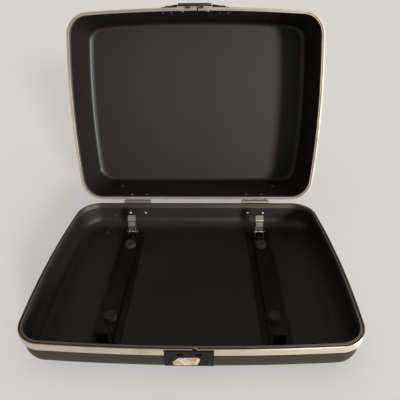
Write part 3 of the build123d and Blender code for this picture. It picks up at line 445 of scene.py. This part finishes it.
def spun(shape, profile, place, steps=32):
    """Adds a turned solid to a mesh, from its (radius, height) points in millimetres."""
    rings = []
    for radius, height in profile:
        turns = 1 if radius == 0 else steps
        angles = [2 * pi * n / turns for n in range(turns)]
        ring = [Vector((radius * cos(angle), radius * sin(angle), height)) for angle in angles]
        rings.append([shape.verts.new(place @ (point * millimetre)) for point in ring])
    for low, high in zip(rings, rings[1:]):
        for n in range(steps):
            after = (n + 1) % steps
            corners = [low[n % len(low)], low[after % len(low)], high[after % len(high)], high[n % len(high)]]
            shape.faces.new(list(dict.fromkeys(corners)))
    return shape


def standing(point, outward, on_lid):
    """Where a turned piece stands: its foot, in millimetres on the closed case, and its way out."""
    turn = Vector(outward).to_track_quat("Z", "Y").to_matrix().to_4x4()
    place = Matrix.Translation(Vector(point) * millimetre) @ turn
    return opened @ place if on_lid else place


def finish_piece(shape, name, material, body, slot, *stands_for):
    """Turns a mesh into a smooth-shaded piece that rides on a body."""
    bmesh.ops.recalc_face_normals(shape, faces=shape.faces)
    mesh = bpy.data.meshes.new(name)
    shape.to_mesh(mesh)
    mesh.shade_smooth()
    mesh.set_sharp_from_angle(angle=radians(35))
    mesh.materials.append(material)
    piece = bpy.data.objects.new(name, mesh)
    bpy.context.scene.collection.objects.link(piece)
    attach(piece, body)
    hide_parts(*stands_for)


def dome(radius, rise):
    """The points of a dome, from its top to its edge."""
    return [(radius * sin(t * pi / 16), rise * cos(t * pi / 16)) for t in range(9)]


def domed_rivets(node, body, grip, places, material, slot, head=3.2, rise=1.2):
    """Rivets through a stack as thick as their grip, in place of the plain ones."""
    shank, tail, tail_rise = 1.6, 2.56, 0.9
    profile = dome(head, rise) + [(shank, 0), (shank, -grip)]
    profile += [(radius, -grip - height) for radius, height in dome(tail, tail_rise)[::-1]]
    shape = bmesh.new()
    for point, outward in places:
        spun(shape, profile, standing(point, outward, body == "lid"))
    finish_piece(shape, "domed_" + node, material, body, slot, node)


# the ways that heads face: up, into the lid from its front wall, forward from the strike
# plate, and out of the tray's and the lid's drafted backs
up, into_lid, forward = (0, 0, 1), (0, 1, 0), (0, -1, 0)
base_back, lid_back = (0, 0.9962, -0.0872), (0, 0.9993, 0.0384)
sides = (-1, 1)
hinge_rivet_x = [side * x for side in sides for x in (100, 130)]
latch_places = [((side * 21.6, -166.43, 65.4), into_lid) for side in sides]
strike_places = [((side * 23, plate_face, 30.5), forward) for side in sides]
runner_places = [((side * x, y, 8.4), up) for side in sides for x in (102, 134) for y in (-125, 125)]
hook_places = [((side * x, -117, 14.9), up) for side in sides for x in (113.8, 122.2)]
bracket_places = [((side * 118, y, 14.4), up) for side in sides for y in (112, 126)]
base_leaf_places = [((x, 169.68, 31.5), base_back) for x in hinge_rivet_x]
lid_leaf_places = [((x, 170.38, 72.8), lid_back) for x in hinge_rivet_x]
domed_rivets("latch_rivets", "lid", 6.0, latch_places, nickel, "nickel", rise=2.0)
domed_rivets("strike_rivets", "base", 8.8, strike_places, enamel, "dark_steel", head=2.56)
domed_rivets("hinge_base_rivets", "base", 4.7, base_leaf_places, nickel, "nickel")
domed_rivets("hinge_lid_rivets", "lid", 4.1, lid_leaf_places, nickel, "nickel")
domed_rivets("runner_rivets", "base", 5.5, runner_places, enamel, "dark_steel")
domed_rivets("front_hook_rivets", "base", 3.6, hook_places, enamel, "dark_steel")
domed_rivets("clip_bracket_rivets", "base", 3.1, bracket_places, enamel, "dark_steel")

# ---- Screws -----------------------------------------------------------------------------
# Steel screws with slotted pan heads: one up through each rubber foot, and two through the
# lid's front wall into each of the handle's mounts. Blued, and bright where a driver slipped.

made, tree, shader = surface("blued_steel", metallic=1.0)
place = add(tree, "ShaderNodeTexCoord").outputs["Object"]
slips = add(tree, "ShaderNodeTexNoise", {
    "Vector": place, "Scale": 320.0, "Detail": 5.0, "Roughness": 0.65,
})
tint = add(tree, "ShaderNodeValToRGB", {
    "Fac": slips.outputs["Fac"],
}, ((0.45, "#2A2825"), (0.68, "#6E6960")))
tree.links.new(tint.outputs["Color"], shader.inputs["Base Color"])
rough = add(tree, "ShaderNodeMapRange", {0: slips.outputs["Fac"], 3: 0.32, 4: 0.5})
tree.links.new(rough.outputs[0], shader.inputs["Roughness"])
blued = made


def slotted_screws(node, body, head, rise, shank, slot_width, screws):
    """Pan-head screws: (foot of the head, way out, length below it), with the slots cut in."""
    fillet = 0.45 * rise
    profile = [(0, rise)]
    for t in range(5):
        angle = t * pi / 8
        profile.append((head - fillet * (1 - sin(angle)), rise - fillet * (1 - cos(angle))))
    profile += [(head, 0), (shank, 0)]
    slot_floor = (rise - rise * 0.55) * millimetre
    half = slot_width / 2
    shape = bmesh.new()
    for number, (point, outward, length) in enumerate(screws):
        place = standing(point, outward, body == "lid")
        point_of_screw = [(shank, 0.8 - length), (shank * 0.4, -length), (0, -length)]
        one = spun(bmesh.new(), profile + point_of_screw, Matrix())
        # the head is split along the slot's two sides, and the strip between them is sunk
        for x in (-half, half):
            faces = one.verts[:] + one.edges[:] + one.faces[:]
            bmesh.ops.bisect_plane(one, geom=faces, plane_co=(x * millimetre, 0, 0), plane_no=(1, 0, 0))
        top = []
        for face in one.faces:
            middle_of_face = face.calc_center_median()
            if abs(middle_of_face.x) < half * millimetre * 0.98 and middle_of_face.z > slot_floor:
                top.append(face)
        sunk = bmesh.ops.extrude_face_region(one, geom=top)
        for vert in [v for v in sunk["geom"] if isinstance(v, bmesh.types.BMVert)]:
            vert.co.z = slot_floor
        bmesh.ops.delete(one, geom=top, context="FACES_ONLY")
        one.transform(Matrix.Rotation(radians(25 + 67 * number), 4, "Z"))
        one.transform(place)
        part = bpy.data.meshes.new("one_screw")
        one.to_mesh(part)
        shape.from_mesh(part)
        bpy.data.meshes.remove(part)
    finish_piece(shape, "slotted_" + node, blued, body, "dark_steel", node)


foot_places = [((side * 170, y, 1.5), (0, 0, -1), 9.9) for side in sides for y in (-126, 132)]
mount_places = [
    ((side * x, y, 75), into_lid, y + 171.6)
    for side in sides for x, y in ((41.8, -165.81), (57.5, -165.52))
]
slotted_screws("foot_screws", "base", head=3.6, rise=1.1, shank=2.0, slot_width=1.0, screws=foot_places)
slotted_screws("handle_screws", "lid", head=3.2, rise=1.7, shank=1.6, slot_width=0.9, screws=mount_places)

# ---- Hinges and rear clips --------------------------------------------------------------
# Hinge leaves rolled round headed pins, with lips that stop the lid a little past upright,
# and sprung levers that held the machine. Steel, zinc plated, with a dull grey bloom.

made, tree, shader = surface("zinc_plated_steel", metallic=1.0)
place = add(tree, "ShaderNodeTexCoord").outputs["Object"]
# a bloom of patches of about 1 mm
bloom = add(tree, "ShaderNodeTexNoise", {
    "Vector": place, "Scale": 1 / millimetre, "Detail": 5.0, "Roughness": 0.7,
})
tint = add(tree, "ShaderNodeValToRGB", {
    "Fac": bloom.outputs["Fac"],
}, ((0.3, "#8C8981"), (0.7, "#A9A59C")))
tree.links.new(tint.outputs["Color"], shader.inputs["Base Color"])
rough = add(tree, "ShaderNodeMapRange", {0: bloom.outputs["Fac"], 3: 0.36, 4: 0.52})
tree.links.new(rough.outputs[0], shader.inputs["Roughness"])
for kind in ("hinge_base_leaf", "hinge_lid_leaf", "hinge_pin", "clip_lever", "clip_pin"):
    dress(made, *[f"{kind}_{hand}" for hand in hands])

# ---- Springs ----------------------------------------------------------------------------
# Torsion springs of hard-drawn round wire, cold wound round the latch's pin and the clips'
# pins, left bright with a film of oil.

made, tree, shader = surface("drawn_spring_wire", metallic=1.0)
place = add(tree, "ShaderNodeTexCoord").outputs["Object"]
oil = add(tree, "ShaderNodeTexNoise", {"Vector": place, "Scale": 400.0, "Detail": 4.0})
tint = add(tree, "ShaderNodeValToRGB", {
    "Fac": oil.outputs["Fac"],
}, ((0.3, "#6B6760"), (0.7, "#A39E94")))
tree.links.new(tint.outputs["Color"], shader.inputs["Base Color"])
rough = add(tree, "ShaderNodeMapRange", {0: oil.outputs["Fac"], 3: 0.24, 4: 0.4})
tree.links.new(rough.outputs[0], shader.inputs["Roughness"])
spring_wire = made


def torsion_spring(node, body, centre, radius, wire, start, turns, legs):
    """Round wire wound about X from a start angle in degrees, with a straight leg at each end.
    """
    pitch = wire * 1.2
    steps = round(28 * turns)
    coil = []
    for n in range(steps + 1):
        angle = radians(start) + 2 * pi * turns * n / steps
        coil.append(Vector((pitch * turns * (n / steps - 0.5), radius * cos(angle), radius * sin(angle))))
    first, last = (coil[0] - coil[1]).normalized(), (coil[-1] - coil[-2]).normalized()
    points = [coil[0] + first * legs[0]] + coil + [coil[-1] + last * legs[1]]
    place = opened if body == "lid" else Matrix()
    curve = bpy.data.curves.new("wound_" + node, "CURVE")
    curve.dimensions = "3D"
    curve.bevel_depth = wire / 2 * millimetre
    curve.bevel_resolution = 4
    curve.use_fill_caps = True
    line = curve.splines.new("POLY")
    line.points.add(len(points) - 1)
    for knot, point in zip(line.points, points):
        knot.co = (*(place @ ((Vector(centre) + point) * millimetre)), 1)
    drawn = bpy.data.objects.new("wire", curve)
    mesh = bpy.data.meshes.new_from_object(drawn)
    bpy.data.objects.remove(drawn)
    mesh.materials.append(spring_wire)
    spring = bpy.data.objects.new("wound_" + node, mesh)
    bpy.context.scene.collection.objects.link(spring)
    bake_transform(spring)
    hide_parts(node)


torsion_spring(
    "latch_spring", "lid", (0, -175.4, 79),
    radius=2.2, wire=0.8, start=5, turns=3.51, legs=(5, 7),
)
for hand in hands:
    clip_pivot = [place / millimetre for place in joints[f"clip_{hand}_pivot"]["pos_m"]]
    torsion_spring(
        f"clip_spring_{hand}", "base", clip_pivot,
        radius=2.6, wire=0.9, start=40, turns=2.908, legs=(11, 8),
    )

# ---- Grip ------------------------------------------------------------------------------
# A black plastic grip, injection moulded in one piece and clipped round the bail's bar: a
# satin skin, glossier in some patches than in others.

made, tree, shader = surface("moulded_grip", metallic=0.0)
place = add(tree, "ShaderNodeTexCoord").outputs["Object"]
cloud = add(tree, "ShaderNodeTexNoise", {"Vector": place, "Scale": 70.0, "Detail": 5.0})
tint = add(tree, "ShaderNodeValToRGB", {
    "Fac": cloud.outputs["Fac"],
}, ((0.3, "#1C1A18"), (0.75, "#2A2724")))
tree.links.new(tint.outputs["Color"], shader.inputs["Base Color"])
rough = add(tree, "ShaderNodeMapRange", {0: cloud.outputs["Fac"], 3: 0.3, 4: 0.46})
tree.links.new(rough.outputs[0], shader.inputs["Roughness"])
skin = add(tree, "ShaderNodeTexNoise", {
    "Vector": place, "Scale": 1 / (0.7 * millimetre), "Detail": 2.0,
})
bump = add(tree, "ShaderNodeBump", {
    "Strength": 0.12, "Distance": 0.05 * millimetre, "Height": skin.outputs["Fac"],
})
tree.links.new(bump.outputs["Normal"], shader.inputs["Normal"])
dress(made, "handle_grip")

# ---- Floor, light and camera -----------------------------------------------------------
# A plain pale floor, an even sky, a low soft key from the front right, and a window far
# to the right that draws the highlights along the rims and the lid's left corner.

bpy.ops.mesh.primitive_plane_add(size=60, location=(0, 0, 0))
floor = bpy.context.object
floor.name = "floor"
made, tree, shader = surface("pale_floor", roughness=0.9)
shader.inputs["Base Color"].default_value = linear("#DAD7D2")
# what the camera and shiny pieces see of the floor is paler than the light alone makes it
rays = add(tree, "ShaderNodeLightPath").outputs
seen = add(tree, "ShaderNodeMath", {
    0: rays["Is Camera Ray"], 1: rays["Is Glossy Ray"],
}, operation="MAXIMUM")
seen = add(tree, "ShaderNodeMath", {
    0: seen.outputs[0], 1: rays["Is Transmission Ray"],
}, operation="MAXIMUM")
glow = add(tree, "ShaderNodeMath", {0: seen.outputs[0], 1: 0.36}, operation="MULTIPLY")
shader.inputs["Emission Color"].default_value = linear("#F4F2F0")
tree.links.new(glow.outputs[0], shader.inputs["Emission Strength"])
floor.data.materials.append(made)

world = bpy.data.worlds.new("studio")
bpy.context.scene.world = world
world.use_nodes = True
world.node_tree.nodes["Background"].inputs["Color"].default_value = linear("#EFEDE9")
world.node_tree.nodes["Background"].inputs["Strength"].default_value = 0.42


def lamp(kind, name, place, target, **settings):
    """A lamp at a place that shines at a target. Gives its object."""
    data = bpy.data.lights.new(name, kind)
    for key, value in settings.items():
        setattr(data, key, value)
    made = bpy.data.objects.new(name, data)
    bpy.context.scene.collection.objects.link(made)
    made.location = place
    made.rotation_euler = (Vector(target) - Vector(place)).to_track_quat("-Z", "Y").to_euler()
    return made


lamp("SUN", "key", (1.36, -2.7, 0.85), (0, 0, 0.22), angle=radians(9), energy=2.1)
# the window is only seen as highlights, and throws no light of its own on dull surfaces
window = lamp(
    "AREA", "window", (1.95, -0.55, 0.35), (-0.17, 0.28, 0.22),
    shape="RECTANGLE", size=0.3, size_y=0.9, energy=50,
)
window.visible_diffuse = False

camera_data = bpy.data.cameras.new("camera")
camera_data.sensor_width = 36
camera_data.sensor_fit = "HORIZONTAL"
camera_data.lens = 35.12
camera = bpy.data.objects.new("camera", camera_data)
bpy.context.scene.collection.objects.link(camera)
pitch, yaw, roll = radians(30.63), radians(-1.27), radians(-0.57)
ahead = Vector((sin(yaw) * cos(pitch), cos(yaw) * cos(pitch), -sin(pitch)))
right = Vector((cos(yaw), -sin(yaw), 0))
above = right.cross(ahead)
level = cos(roll) * right + sin(roll) * above
upright = -sin(roll) * right + cos(roll) * above
turn = Matrix((level, upright, -ahead)).transposed()
camera.matrix_world = Matrix.Translation((0.0221, -0.4818, 0.4452)) @ turn.to_4x4()
bpy.context.scene.camera = camera
bpy.context.scene.view_settings.view_transform = "Standard"
